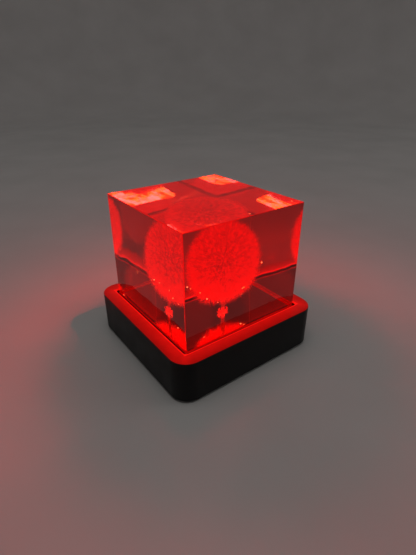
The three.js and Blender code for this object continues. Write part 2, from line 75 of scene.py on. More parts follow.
BASE_CORNER_R = 8
WALL = 2.2
SEAT_CLEARANCE = 1.2
SEAT_HALF = BLOCK_HIGH.x + SEAT_CLEARANCE
SEAT_CORNER_R = 1.5
SEAT_FLOOR = BLOCK_LOW.z - 0.1
DECK_UNDERSIDE = SEAT_FLOOR - 2.8
LEDGE_TOP = LENS_LOW.z - 0.05
WINDOW_HALF = LENS_HIGH.x
WINDOW_CORNER_R = 6
WINDOW_LEDGE = 1.5
LED_COUNT = 6
LED_RING_R = 11.5
STEM_R = 1.1
SWITCH_Z = 10
SCREW_XY = 30.5
BOARD_SCREW_X = 15
BOARD_SCREW_Y = -30.5
COVER_HIGH_AT_POSTS = 3.15
SCREW_HOLE_TOP = 12
DOOR_HALF = 26.3
CELL_COUNT = 3
CELL_PITCH = 10.9
LEAD_R = 0.58
LAMP_LEAD_R = 0.38
CORNER_SIGNS = ((-1, -1), (1, -1), (1, 1), (-1, 1))

# The flower is made upright and then leans about the foot of its stem.
UPRIGHT_HEAD_Z = STEM_FOOT.z + (HEAD - STEM_FOOT).length
LEAN = (
    Matrix.Translation(STEM_FOOT)
    @ Matrix.Rotation(math.atan2(-HEAD.y, HEAD.z - STEM_FOOT.z), 4, "X")
    @ Matrix.Translation(-STEM_FOOT)
)

# The fluff and the seeds; feet, tops and tips are measured from the middle of the seed head.
SEED_COUNT = 230
SEED_FOOT_R = 3.3
SEED_TOP_R = 6.6
BEAK_TIP_R = 12.6
RECEPTACLE_R = 3.4
SEED_SPINDLE = (0.12, 0.34, 0.42, 0.3, 0.1)
BEAK_THICKNESS_R = 0.09
LOWEST_TUFT = 154  # degrees from straight up
TUFT_OPENING = 62  # degrees from a tuft's flat to its steepest hairs
HAIRS_PER_SEED = 60
HAIR_LENGTH = (7.4, 9.6)
HAIR_R = 0.075
LOW_REACH = 0.98  # how far down the fluff goes, against HEAD_R
LOW_SQUARENESS = 3.1  # 2 is round

# The stalk, its curled strips, the leaves, and what else is in the block.
STALK_STEPS = 24
STALK_FOOT_DROP = 0.85
CURL_COUNT = 7
CURL_R = 1.15
CURL_FLATNESS = 0.7
CURL_STEPS = 14
BRACT_COUNT = 13
BRACT_LENGTH = 10.4
BRACT_STEPS = 10
BUBBLE_COUNT = 14
GROUND_BORDER = 1.4

# The lamps' light: its colour, and how strongly each thing shows it.
RED_GLOW = (1.0, 0.006, 0.004)
# Painted light: the clear resin is coloured red for the lamps' red light in it.
RESIN_PAINTED_RED = (1.0, 0.045, 0.04)
RESIN_IOR = 1.5
FLUFF_GLOW_INSIDE = 0.5
FLUFF_GLOW_TIPS = 1.05
FLUFF_GLOW_FALL = 0.66
RIM_GLOW_INNER = 0.62
RIM_GLOW_OUTER = 0.3
SEAT_GLOW = 0.7
LAMP_SPOT_R = 1.5
LAMP_FADE_R = 8.5
SPOT_HEAT = 0.45
STREAK_HEAT = 0.65
WINDOW_GLOW = (2.0, 16.0)

# The studio.
FLOOR_R = 900
CURVE_R = 500
WALL_TOP = 2200
FLOOR_SHADES = [(0.3, (0.60, 0.59, 0.58)), (0.7, (0.66, 0.65, 0.64))]
AIR_COLOUR = (0.92, 0.95, 1, 1)
AIR_STRENGTH = 0.06
BLOCK_GLOW_POWER = 0.3
BLOCK_GLOW_DEPTH = 2
BLOCK_GLOW_R = 1.5
CAMERA_AT = Vector((-95.3, -132.2, 116.6)) * MM
CAMERA_AIM = Vector((-1.7, -6.2, 33.7)) * MM
CAMERA_LENS = 25.4
CAMERA_SENSOR = 36


# ---------- camera ----------

camera_data = bpy.data.cameras.new("camera")
camera_data.lens = CAMERA_LENS
camera_data.sensor_width = CAMERA_SENSOR
camera_data.clip_start = 0.005
camera_data.clip_end = 20
camera = bpy.data.objects.new("camera", camera_data)
camera.location = CAMERA_AT
camera.rotation_mode = "QUATERNION"
camera.rotation_quaternion = (CAMERA_AIM - CAMERA_AT).to_track_quat("-Z", "Y")
bpy.context.scene.collection.objects.link(camera)
bpy.context.scene.camera = camera


# ---------- mesh parts: (points, faces) in millimetres ----------


def merged(*parts):
    points, faces = [], []
    for part_points, part_faces in parts:
        start = len(points)
        points += part_points
        faces += [[start + i for i in face] for face in part_faces]
    return points, faces


def moved(part, matrix):
    return [tuple(matrix @ Vector(p)) for p in part[0]], part[1]


def shifted(part, x=0, y=0, z=0):
    return moved(part, Matrix.Translation((x, y, z)))


def arc(centre_a, centre_b, radius, start, end, steps):
    """Points of an arc in a plane, angles in degrees."""
    turns = [math.radians(start + (end - start) * i / steps) for i in range(steps + 1)]
    return [(centre_a + radius * math.cos(t), centre_b + radius * math.sin(t)) for t in turns]


def ring(half_x, half_y, corner_r, z, steps=10):
    """A rectangle with rounded corners, anticlockwise seen from above."""
    points = []
    for quarter, (sx, sy) in enumerate(((1, -1), (1, 1), (-1, 1), (-1, -1))):
        x, y = sx * (half_x - corner_r), sy * (half_y - corner_r)
        turn = -90 + 90 * quarter
        points += [(a, b, z) for a, b in arc(x, y, corner_r, turn, turn + 90, steps)]
    return points


def loft(rings, closed=False):
    """Rings of equal length joined in order, capped at both ends unless the last joins the first."""
    count = len(rings[0])
    points = [p for one in rings for p in one]
    faces = []
    for i in range(len(rings) if closed else len(rings) - 1):
        here, there = i * count, (i + 1) % len(rings) * count
        for k in range(count):
            after = (k + 1) % count
            faces.append([here + k, here + after, there + after, there + k])
    if not closed:
        last = (len(rings) - 1) * count
        faces.append(list(range(count - 1, -1, -1)))
        faces.append(list(range(last, last + count)))
    return points, faces


def slab(half_x, half_y, corner_r, z0, z1, fillet=0.2, steps=10):
    """A flat slab with rounded corners and filleted upper and lower edges."""
    rows = arc(-fillet, z0 + fillet, fillet, -90, 0, 3)
    rows += arc(-fillet, z1 - fillet, fillet, 0, 90, 3)
    r = max(corner_r, fillet + 0.02)
    return loft([ring(half_x + d, half_y + d, r + d, z, steps) for d, z in rows])


def cuboid(x0, x1, y0, y1, z0, z1, fillet=0.15):
    """A box between the given limits, with rounded edges."""
    flat = slab((x1 - x0) / 2, (y1 - y0) / 2, fillet, z0, z1, fillet, 3)
    return shifted(flat, (x0 + x1) / 2, (y0 + y1) / 2)


def turned(profile, sides=48):
    """A profile of (radius, z) points turned about Z; one that starts off the axis closes on itself."""
    on_axis = profile[0][0] < 1e-6
    points, faces = [], []
    rows = []
    for radius, z in profile:
        if radius < 1e-6:
            rows.append([len(points)] * sides)
            points.append((0, 0, z))
        else:
            rows.append(list(range(len(points), len(points) + sides)))
            points += [
                (radius * math.cos(a), radius * math.sin(a), z)
                for a in (2 * math.pi * k / sides for k in range(sides))
            ]
    for i in range(len(rows) - 1 if on_axis else len(rows)):
        here, there = rows[i], rows[(i + 1) % len(rows)]
        for k in range(sides):
            after = (k + 1) % sides
            face = [here[k], here[after], there[after], there[k]]
            faces.append(sorted(set(face), key=face.index))
    return points, faces


def along(points, section, sizes=None):
    """A closed section of (side, lift) points swept along a line, with flat ends."""
    path = [Vector(p) for p in points]
    side = None
    rings = []
    for i, at in enumerate(path):
        ahead = (path[min(i + 1, len(path) - 1)] - path[max(i - 1, 0)]).normalized()
        if side is None:
            side = ahead.cross(Vector((0, 0, 1)))
            if side.length < 0.1:
                side = ahead.cross(Vector((1, 0, 0)))
        side = (side - ahead * side.dot(ahead)).normalized()
        lift = side.cross(ahead)
        size = 1 if sizes is None else sizes[i]
        rings.append([tuple(at + (side * a + lift * b) * size) for a, b in section])
    return loft(rings)


def round_section(radius, sides):
    return [(radius * math.cos(a), radius * math.sin(a)) for a in
            (2 * math.pi * k / sides for k in range(sides))]


def smooth_line(points, steps):
    """A smooth line through the points: a cubic spline, a little tighter than Catmull-Rom."""
    tension = 0.3
    at = [Vector(p) for p in points]
    before = [at[0] * 2 - at[1], *at, at[-1] * 2 - at[-2]]
    spans = len(at) - 1
    line = []
    for i in range(steps + 1):
        place = min(i / steps * spans, spans - 1e-9)
        k, t = int(place), place - int(place)
        p0, p1, p2, p3 = before[k : k + 4]
        m1, m2 = (p2 - p0) * tension, (p3 - p1) * tension
        line.append(
            p1 * (2 * t**3 - 3 * t**2 + 1)
            + m1 * (t**3 - 2 * t**2 + t)
            + p2 * (3 * t**2 - 2 * t**3)
            + m2 * (t**3 - t**2)
        )
    return line


# ---------- pieces ----------


def mesh_object(name, parts, materials=()):
    """A mesh object of several parts; the part at place i gets material i."""
    points, faces, slots = [], [], []
    for i, part in enumerate(parts):
        start = len(points)
        points += part[0]
        faces += [[start + k for k in face] for face in part[1]]
        slots += [min(i, max(len(materials) - 1, 0))] * len(part[1])
    mesh = bpy.data.meshes.new(name)
    mesh.from_pydata([Vector(p) * MM for p in points], [], faces)
    for material in materials:
        mesh.materials.append(material)
    mesh.polygons.foreach_set("material_index", slots)
    mesh.validate()
    edit = bmesh.new()
    edit.from_mesh(mesh)
    bmesh.ops.recalc_face_normals(edit, faces=edit.faces)
    edit.to_mesh(mesh)
    edit.free()
    made = bpy.data.objects.new(name, mesh)
    bpy.context.scene.collection.objects.link(made)
    return made


def carved(target, removed=(), added=()):
    """Cuts mesh parts out of an object, and joins others on."""
    cutters = []
    for operation, group in (("UNION", added), ("DIFFERENCE", removed)):
        for part in group:
            cutter = mesh_object("cutter", [part])
            modifier = target.modifiers.new("carve", "BOOLEAN")
            modifier.operation = operation
            modifier.solver = "EXACT"
            modifier.object = cutter
            cutters.append(cutter)
    bpy.context.view_layer.update()
    evaluated = target.evaluated_get(bpy.context.evaluated_depsgraph_get())
    mesh = bpy.data.meshes.new_from_object(evaluated)
    target.modifiers.clear()
    target.data = mesh
    for cutter in cutters:
        bpy.data.objects.remove(cutter)
    return target


def soften(target, angle=35, weighted=True):
    """Smooth shading, with edges sharper than the angle kept and flat faces kept flat."""
    target.data.shade_smooth()
    target.data.set_sharp_from_angle(angle=math.radians(angle))
    if weighted:
        modifier = target.modifiers.new("flat faces", "WEIGHTED_NORMAL")
        modifier.keep_sharp = True
        modifier.weight = 90
    return target


def settle(target, body, slot, *replaced):
    """Gives an object its body and hides the CAD nodes that it stands for; slot is not used."""
    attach(target, body)
    if replaced:
        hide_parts(*replaced)
    return target


def piece(name, body, slot, parts, materials, replaced=(), removed=(), added=()):
    """A named piece of the object; some parts may be cut out of it, and others joined on."""
    made = mesh_object(name, parts, materials)
    if removed or added:
        carved(made, removed, added)
    soften(made)
    return settle(made, body, slot, *replaced)


# ---------- material nodes ----------


def plug(tree, target, inputs):
    """Sets a node's inputs: links another node's output, or puts a number or colour on the socket."""
    for key, value in inputs.items():
        if isinstance(value, bpy.types.NodeSocket):
            tree.links.new(value, target.inputs[key])
        else:
            target.inputs[key].default_value = value


def node(tree, kind, inputs=None, **settings):
    """A new shader node with its settings and inputs."""
    made = tree.nodes.new("ShaderNode" + kind)
    for name, value in settings.items():
        setattr(made, name, value)
    plug(tree, made, inputs or {})
    return made


def place_of(tree):
    """Where a point is on the object, in millimetres."""
    position = node(tree, "TexCoord").outputs["Object"]
    scale = node(tree, "VectorMath", {0: position, 1: (1 / MM,) * 3}, operation="MULTIPLY")
    return scale.outputs[0]


def speckle(tree, place, size, detail=3, stretch=(1, 1, 1), roughness=0.5):
    """Noise whose blotches are about the given size in millimetres."""
    spread = node(tree, "VectorMath", {0: place, 1: stretch}, operation="MULTIPLY").outputs[0]
    inputs = {"Vector": spread, "Scale": 1 / size, "Detail": detail, "Roughness": roughness}
    return node(tree, "TexNoise", inputs).outputs["Fac"]


def ranged(tree, value, low, high, to_low, to_high, smooth=False):
    """Maps low to high onto to_low to to_high, and holds the ends."""
    inputs = {"Value": value, "From Min": low, "From Max": high, "To Min": to_low, "To Max": to_high}
    how = "SMOOTHSTEP" if smooth else "LINEAR"
    return node(tree, "MapRange", inputs, interpolation_type=how).outputs["Result"]


def maths(tree, operation, a, b=0.0):
    return node(tree, "Math", {0: a, 1: b}, operation=operation).outputs[0]


def shades(tree, factor, stops):
    """A colour ramp; stops are (position, colour)."""
    ramp = node(tree, "ValToRGB", {"Fac": factor})
    entries = ramp.color_ramp.elements
    while len(entries) < len(stops):
        entries.new(0.5)
    for entry, (position, colour) in zip(entries, stops):
        entry.position = position
        entry.color = (*colour, 1)
    return ramp.outputs["Color"]


def new_material(name):
    made = bpy.data.materials.new(name)
    made.use_nodes = True
    tree = made.node_tree
    return made, tree, tree.nodes["Principled BSDF"]


def lit_material(name):
    """A material with emission that isn't itself sampled as a lamp: the lamps' own glow, or painted light on
    parts that are no lamp.
    """
    made, tree, shader = new_material(name)
    made.cycles.emission_sampling = "NONE"
    return made, tree, shader


def bumped(tree, shader, height, depth):
    """Bump of the given depth in millimetres."""
    bump = node(tree, "Bump", {"Height": height, "Strength": 1, "Distance": depth * MM})
    tree.links.new(bump.outputs["Normal"], shader.inputs["Normal"])


def plain_finish(name, dark, light, blotch=6, rough=(0.35, 0.5), grain=0.4, depth=0.01, metal=0,
                 stretch=(1, 1, 1), coat=0):
    """Two close shades in blotches, uneven gloss and a fine grain."""
    made, tree, shader = new_material(name)
    place = place_of(tree)
    blotches = speckle(tree, place, blotch, 4, stretch)
    plug(tree, shader, {
        "Base Color": shades(tree, blotches, [(0.35, dark), (0.65, light)]),
        "Roughness": ranged(tree, speckle(tree, place, blotch / 3, 3, stretch), 0.3, 0.7, *rough),
        "Metallic": metal,
        "Coat Weight": coat,
    })
    bumped(tree, shader, speckle(tree, place, grain, 2, stretch), depth)
    return made


# ---------- materials ----------


def resin_finish():
    """Clear resin coloured red as painted light for the lamps' red light in it; lamps light what is cast in
    it.
    """
    made, tree, shader = new_material("clear resin")
    place = place_of(tree)
    smudges = speckle(tree, place, 7, 5, (1, 1.6, 1), 0.65)
    plug(tree, shader, {
        "Base Color": (*RESIN_PAINTED_RED, 1),
        "Transmission Weight": 1,
        "IOR": RESIN_IOR,
        "Roughness": ranged(tree, smudges, 0.5, 0.75, 0.0, 0.008),
    })
    bumped(tree, shader, speckle(tree, place, 16, 2, roughness=0.4), 0.2)
    # Lamp light passing through the block to what is cast in it is tinted pink: painted red light.
    clear = node(tree, "BsdfTransparent", {"Color": (1, 0.4, 0.4, 1)})
    to_lamp = node(tree, "LightPath").outputs["Is Shadow Ray"]
    mix = node(tree, "MixShader", {0: to_lamp, 1: shader.outputs[0], 2: clear.outputs[0]})
    tree.links.new(mix.outputs[0], tree.nodes["Material Output"].inputs["Surface"])
    return made


def fluff_finish():
    """Fine hairs with a painted red glow for the lamps' light: brightest at the tips and low down, in uneven
    tufts.
    """
    made, tree, shader = lit_material("fluff")
    place = place_of(tree)
    from_centre = node(tree, "VectorMath", {0: place, 1: HEAD}, operation="SUBTRACT").outputs[0]
    radius = node(tree, "VectorMath", {0: from_centre}, operation="LENGTH").outputs["Value"]
    # Painted light and shade: the glow is dimmer deep in the ball and in blotches between tufts, and
    # stronger low down, nearest the lamps.
    outer = ranged(tree, radius, 0.55 * HEAD_R, 0.9 * HEAD_R, FLUFF_GLOW_INSIDE, FLUFF_GLOW_TIPS,
                   smooth=True)
    height = node(tree, "SeparateXYZ", {0: from_centre}).outputs["Z"]
    low = ranged(tree, height, -HEAD_R, HEAD_R, 1.0, FLUFF_GLOW_FALL)
    outwards = node(tree, "VectorMath", {0: from_centre}, operation="NORMALIZE").outputs[0]
    streaks = ranged(tree, speckle(tree, outwards, 0.05, 3, roughness=0.6), 0.38, 0.62, 0.68, 1.25)
    blotches = ranged(tree, speckle(tree, place, 1.8, 4, roughness=0.7), 0.38, 0.62, 0.68, 1.32)
    tufts = maths(tree, "MULTIPLY", streaks, blotches)
    strength = maths(tree, "MULTIPLY", maths(tree, "MULTIPLY", outer, low), tufts)
    plug(tree, shader, {
        "Base Color": shades(tree, tufts, [(0.4, (0.1, 0.004, 0.004)), (1.0, (0.2, 0.01, 0.008))]),
        "Roughness": 0.75,
        "Emission Color": shades(tree, tufts, [(0.4, (1.0, 0.0, 0.0)), (1.0, (1.0, 0.004, 0.003))]),
        "Emission Strength": strength,
    })
    return made


def plant_with_painted_glow(name, dark, light, glow, near_foot=1.0):
    """Dry stalk, leaf or seed skin, streaked along Z, with a painted red glow for the lamps' light, stronger
    near the cut foot.
    """
    made, tree, shader = lit_material(name)
    place = place_of(tree)
    streaks = speckle(tree, place, 0.6, 4, (1, 1, 0.2))
    height = node(tree, "SeparateXYZ", {0: place}).outputs["Z"]
    # Painted light: the glow is stronger near the cut foot, just over the lamps.
    near = ranged(tree, height, STEM_FOOT.z + 0.2, STEM_FOOT.z + 1.6, near_foot, 1.0)
    plug(tree, shader, {
        "Base Color": shades(tree, streaks, [(0.3, dark), (0.7, light)]),
        "Roughness": 0.6,
        "Emission Color": shades(tree, streaks, [(0.3, (1.0, 0.0, 0.0)), (0.7, (1.0, 0.03, 0.02))]),
        "Emission Strength": maths(tree, "MULTIPLY", near,
                                   ranged(tree, streaks, 0.3, 0.7, 0.6 * glow, glow)),
    })
    bumped(tree, shader, streaks, 0.05)
    return made


def housing_finish():
    """Black moulded plastic with the block's red light painted on as a glow: on the rim, brightest at its
    lip, and filling the seat.
    """
    made, tree, shader = lit_material("black plastic, lit rim")
    place = place_of(tree)
    blotches = speckle(tree, place, 9, 4)
    bumped(tree, shader, speckle(tree, place, 0.35, 2), 0.006)
    axes = node(tree, "SeparateXYZ", {0: place}).outputs
    across = maths(tree, "MAXIMUM", maths(tree, "ABSOLUTE", axes["X"]), maths(tree, "ABSOLUTE", axes["Y"]))
    # The rim's light fades outwards, its lip is brightest, and the seat glows only under the block.
    rim = ranged(tree, across, SEAT_HALF + 0.4, BASE_HIGH.x, RIM_GLOW_INNER, RIM_GLOW_OUTER)
    lip = ranged(tree, across, SEAT_HALF + 0.5, SEAT_HALF + 1.2, 1.0, 0.0, smooth=True)
    seat = ranged(tree, across, BLOCK_HIGH.x - 0.4, BLOCK_HIGH.x + 0.2, SEAT_GLOW, 0.0, smooth=True)
    upper = ranged(tree, axes["Z"], BASE_HIGH.z - 0.3, BASE_HIGH.z - 0.1, 0.0, 1.0, smooth=True)
    edge = ranged(tree, axes["Z"], BASE_HIGH.z - 0.7, BASE_HIGH.z - 0.35, 0.0, 1.0, smooth=True)
    top = maths(tree, "MAXIMUM", maths(tree, "MULTIPLY", rim, upper), maths(tree, "MULTIPLY", lip, edge))
    deep = ranged(tree, axes["Z"], DECK_UNDERSIDE + 0.3, SEAT_FLOOR - 0.1, 0.0, 1.0)
    light = maths(tree, "MAXIMUM", top, maths(tree, "MULTIPLY", seat, deep))
    uneven = ranged(tree, speckle(tree, place, 4, 3), 0.3, 0.7, 0.88, 1.08)
    plug(tree, shader, {
        "Base Color": shades(tree, blotches, [(0.3, (0.004, 0.0035, 0.004)),
                                              (0.7, (0.008, 0.007, 0.007))]),
        "Roughness": ranged(tree, blotches, 0.3, 0.7, 0.36, 0.48),
        "Specular IOR Level": 0.2,
        "Emission Color": (*RED_GLOW, 1),
        "Emission Strength": maths(tree, "MULTIPLY", light, uneven),
    })
    return made


def window_finish():
    """Frosted plastic over six lamps: pale hot spots on an orange-red field."""
    made, tree, shader = lit_material("frosted window")
    place = place_of(tree)
    axes = node(tree, "SeparateXYZ", {0: place}).outputs
    flat = node(tree, "CombineXYZ", {0: axes["X"], 1: axes["Y"]}).outputs[0]
    spots = None
    for i in range(LED_COUNT):
        turn = 2 * math.pi * i / LED_COUNT
        lamp_at = (LED_RING_R * math.cos(turn), LED_RING_R * math.sin(turn), 0)
        away = node(tree, "VectorMath", {0: flat, 1: lamp_at}, operation="DISTANCE").outputs["Value"]
        spot = ranged(tree, away, LAMP_SPOT_R, LAMP_FADE_R, 1.0, 0.0, smooth=True)
        spots = spot if spots is None else maths(tree, "MAXIMUM", spots, spot)
    grain = speckle(tree, place, 4, 4, (1, 0.4, 1), 0.65)
    streaks = ranged(tree, grain, 0.42, 0.58, 0.0, STREAK_HEAT)
    heat = maths(tree, "ADD", maths(tree, "MULTIPLY", spots, SPOT_HEAT), streaks)
    colour = shades(tree, heat, [
        (0.1, (1.0, 0.5, 0.02)),
        (0.4, (1.0, 1.0, 0.06)),
        (0.65, (0.9, 0.8, 0.6)),
        (0.95, (0.7, 1.0, 1.0)),
    ])
    plug(tree, shader, {
        "Base Color": (0.8, 0.3, 0.28, 1),
        "Roughness": 0.6,
        "Emission Color": colour,
        "Emission Strength": ranged(tree, heat, 0.1, 1.0, *WINDOW_GLOW),
    })
    bumped(tree, shader, speckle(tree, place, 0.5, 2), 0.02)
    return made


def bubble_finish():
    """Air bubbles with painted glints of the lamps: they glow in spots though they are no lamp."""
    made, tree, shader = lit_material("air bubbles")
    painted_glint = speckle(tree, place_of(tree), 0.8, 2)
    plug(tree, shader, {
        "Base Color": (0.8, 0.3, 0.2, 1),
        "Roughness": 0.1,
        "Emission Color": shades(tree, painted_glint, [(0.35, (1.0, 0.42, 0.02)), (0.65, (1.0, 0.7, 0.3))]),
        "Emission Strength": ranged(tree, painted_glint, 0.3, 0.7, 1.5, 6.0),
    })
    return made


def ground_finish():
    """Dull ground resin with a painted red glow for the lamps' light, in uneven patches."""
    made, tree, shader = lit_material("ground resin")
    wear_and_painted_glow = speckle(tree, place_of(tree), 3, 4, roughness=0.6)
    plug(tree, shader, {
        "Base Color": (0.3, 0.012, 0.01, 1),
        "Roughness": ranged(tree, wear_and_painted_glow, 0.3, 0.7, 0.6, 0.8),
        "Emission Color": (*RED_GLOW, 1),
        "Emission Strength": ranged(tree, wear_and_painted_glow, 0.3, 0.7, 0.1, 0.4),
    })
    return made


def lamp_finish():
    """The lit dome of a lamp, palest in the middle of its top."""
    made, tree, shader = lit_material("lamp dome")
    place = place_of(tree)
    height = node(tree, "SeparateXYZ", {0: place}).outputs["Z"]
    heat = ranged(tree, height, LED_BOARD_HIGH.z + 0.5, LED_BOARD_HIGH.z + 0.95, 0, 1)
    mottle = maths(tree, "ADD", heat, ranged(tree, speckle(tree, place, 0.5, 2), 0, 1, -0.1, 0.1))
    plug(tree, shader, {
        "Base Color": (0.9, 0.3, 0.2, 1),
        "Roughness": 0.2,
        "Emission Color": shades(tree, mottle, [(0.0, (1.0, 0.05, 0.02)), (0.8, (1.0, 0.45, 0.35))]),
        "Emission Strength": 3,
    })
    return made


resin = resin_finish()
fluff = fluff_finish()
stalk = plant_with_painted_glow("stalk", (0.16, 0.02, 0.012), (0.3, 0.05, 0.03), 0.2, near_foot=6)
leaf = plant_with_painted_glow("dry leaf", (0.1, 0.012, 0.008), (0.2, 0.03, 0.02), 0.3)
seed = plant_with_painted_glow("seed skin", (0.05, 0.008, 0.005), (0.12, 0.02, 0.012), 0.18)
housing_plastic = housing_finish()
window = window_finish()
bubbles = bubble_finish()
ground_edge = ground_finish()
lamp = lamp_finish()
black_plastic = plain_finish("black plastic", (0.009, 0.009, 0.010), (0.016, 0.015, 0.016), 9,
                             (0.38, 0.5), 0.35, 0.006)
white_plastic = plain_finish("white plastic", (0.68, 0.66, 0.63), (0.78, 0.77, 0.74), 8)
cream_plastic = plain_finish("cream plastic", (0.66, 0.58, 0.42), (0.76, 0.69, 0.53), 4)
board = plain_finish("circuit board", (0.008, 0.07, 0.03), (0.014, 0.11, 0.05), 3, (0.25, 0.4), 0.8,
                     0.02, coat=0.4)
chip_plastic = plain_finish("chip", (0.012, 0.012, 0.013), (0.022, 0.022, 0.024), 1.5, (0.45, 0.6), 0.15)
sleeve = plain_finish("capacitor sleeve", (0.012, 0.022, 0.06), (0.02, 0.035, 0.09), 3, (0.2, 0.3))
ceramic = plain_finish("resistor", (0.016, 0.014, 0.012), (0.03, 0.026, 0.022), 0.8, (0.3, 0.45), 0.1)
red_wire = plain_finish("red wire", (0.35, 0.012, 0.01), (0.48, 0.02, 0.015), 3, (0.3, 0.42), 0.3)
black_wire = plain_finish("black wire", (0.010, 0.010, 0.011), (0.02, 0.02, 0.021), 3, (0.3, 0.42), 0.3)
grey_wire = plain_finish("grey wire", (0.2, 0.21, 0.22), (0.3, 0.31, 0.32), 3, (0.3, 0.42), 0.3)
jacket = plain_finish("cell jacket", (0.02, 0.055, 0.11), (0.03, 0.075, 0.15), 8, (0.22, 0.34), 0.5,
                      0.004, coat=0.5)
nickel = plain_finish("nickel", (0.55, 0.53, 0.5), (0.66, 0.64, 0.61), 2, (0.18, 0.34), 0.2, 0.004, 1,
                      (1, 0.3, 1))
steel = plain_finish("screw steel", (0.36, 0.37, 0.38), (0.48, 0.49, 0.5), 1.5, (0.25, 0.42), 0.15, 0.006, 1)
rubber = plain_finish("rubber", (0.012, 0.012, 0.012), (0.024, 0.024, 0.024), 2, (0.75, 0.9), 0.25, 0.03)


# ---------- the block and what is cast in it ----------


def resin_block():
    """The polished block, cast solid round the flower."""
    half = BLOCK_HIGH.x
    part = slab(half, half, 0.35, BLOCK_LOW.z, BLOCK_HIGH.z, 0.3, 4)
    piece("resin_block_clear", "block", "clear_resin", [part], [resin], ["resin_block"])


def outward_directions(count, lowest_angle):
    """Directions evenly spread on a spiral, from straight up to the given angle from it."""
    golden_angle = math.pi * (3 - math.sqrt(5))
    lowest = math.cos(math.radians(lowest_angle))
    for i in range(count):
        up = 1 - (1 - lowest) * (i + 0.5) / count
        level = math.sqrt(1 - up * up)
        turn = i * golden_angle
        yield Vector((level * math.cos(turn), level * math.sin(turn), up))


def hair(start, direction, length, bend, radius):
    """A thin three-sided tapering hair that ends in a point."""
    middle = start + direction * length * 0.5 + bend
    tip = start + direction * length
    side = direction.orthogonal().normalized()
    other = direction.cross(side)
    corners = [side * a + other * b for a, b in round_section(1, 3)]
    points = [tuple(start + c * radius) for c in corners]
    points += [tuple(middle + c * radius * 0.8) for c in corners]
    points.append(tuple(tip))
    faces = [[2, 1, 0]]
    for k in range(3):
        after = (k + 1) % 3
        faces.append([k, after, 3 + after, 3 + k])
        faces.append([3 + k, 3 + after, 6])
    return points, faces


def fullness(outwards):
    """How far the fluff reaches in a direction, against HEAD_R: its underside is fuller and flatter."""
    if outwards.z >= 0:
        return 1.0
    level = math.hypot(outwards.x, outwards.y)
    low = -outwards.z / LOW_REACH
    return (level ** LOW_SQUARENESS + low ** LOW_SQUARENESS) ** (-1 / LOW_SQUARENESS)


def seed_head():
    """Parachutes of fine hairs on thin beaks, and the seeds that carry them."""
    draw = random.Random(7)
    middle = Vector((0, 0, UPRIGHT_HEAD_Z))
    hairs, seeds = [], []
    for outwards in outward_directions(SEED_COUNT, LOWEST_TUFT):
        axis = (outwards + Vector([draw.uniform(-0.07, 0.07) for _ in range(3)])).normalized()
        seed_foot = middle + axis * SEED_FOOT_R
        seed_top = middle + axis * (SEED_TOP_R + draw.uniform(-0.3, 0.3))
        places = [seed_foot.lerp(seed_top, i / 4) for i in range(5)]
        seeds.append(along(places, round_section(1, 6), SEED_SPINDLE))
        full = fullness(axis)
        centre = middle + axis * full * (BEAK_TIP_R + draw.uniform(-0.7, 0.6))
        beak = [seed_top, seed_top.lerp(centre, 0.5), centre]
        hairs.append(along(beak, round_section(BEAK_THICKNESS_R, 4)))
        tuft_reach = HEAD_R * full * draw.uniform(0.98, 1.05)
        side = axis.orthogonal().normalized()
        other = axis.cross(side)
        for k in range(HAIRS_PER_SEED):
            turn = 2 * math.pi * (k + draw.uniform(-0.4, 0.4)) / HAIRS_PER_SEED
            lean = math.radians(90 - TUFT_OPENING * draw.random() ** 0.7)
            flat = side * math.cos(turn) + other * math.sin(turn)
            direction = axis * math.cos(lean) + flat * math.sin(lean)
            reach = tuft_reach * (1.01 - 0.09 * draw.random())
            from_head = centre - middle
            dot = from_head.dot(direction)
            longest = -dot + math.sqrt(dot * dot + reach * reach - from_head.length_squared)
            length = min(longest, full * draw.uniform(*HAIR_LENGTH))
            bend = axis * draw.uniform(-0.1, 0.35)
            hairs.append(hair(centre, direction, length, bend, HAIR_R))
    fluffy = mesh_object("pappus_fluff", [moved(merged(*hairs), LEAN)], [fluff])
    fluffy.data.shade_smooth()
    settle(fluffy, "block", "fluff", "pappus_ball")
    dome = turned([(0, -2)] + arc(0, 0, RECEPTACLE_R, -36, 81, 13) + [(0, RECEPTACLE_R)], 32)
    core = mesh_object("seeds", [moved(merged(shifted(dome, *middle), *seeds), LEAN)], [seed])
    soften(core, 50, weighted=False)
    settle(core, "block", "seed", "seed_receptacle")


def flower_stem():
    """A stalk, cut and split at its foot into strips that curl out and up; only the stalk leans."""
    draw = random.Random(11)
    foot = STEM_FOOT.z - STALK_FOOT_DROP
    top = UPRIGHT_HEAD_Z - 2.6
    rise = (top - foot) / STALK_STEPS
    places = [Vector((0.12 * math.sin(i * 0.6), 0.1 * math.sin(i * 0.45), foot + rise * i))
              for i in range(STALK_STEPS + 1)]
    sizes = [1 + 0.06 * math.sin(i * 1.3) for i in range(STALK_STEPS + 1)]
    parts = [moved(along(places, round_section(STEM_R - 0.08, 16), sizes), LEAN)]
    section = [(-0.65, -0.12), (0, -0.2), (0.65, -0.12), (0.65, 0.12), (0, 0.2), (-0.65, 0.12)]
    widths = [1 - 0.35 * k / CURL_STEPS for k in range(CURL_STEPS + 1)]
    for i in range(CURL_COUNT):
        turn = 2 * math.pi * (i + draw.uniform(0.1, 0.4)) / CURL_COUNT
        curl_r = CURL_R * draw.uniform(0.8, 1.0)
        end = draw.uniform(340, 450)
        radial = Vector((math.cos(turn), math.sin(turn), 0))
        line = [radial * r + Vector((0, 0, foot + 0.1 + CURL_FLATNESS * z)) for r, z in
                arc(STEM_R + curl_r - 0.2, 0, curl_r, 180, end, CURL_STEPS)]
        across = Vector((0, 0, 1)).cross(radial)
        parts.append(ribbon(line, section, widths, across))
    made = mesh_object("stem", [merged(*parts)], [stalk])
    soften(made, 50, weighted=False)
    settle(made, "block", "stalk", "flower_stem")


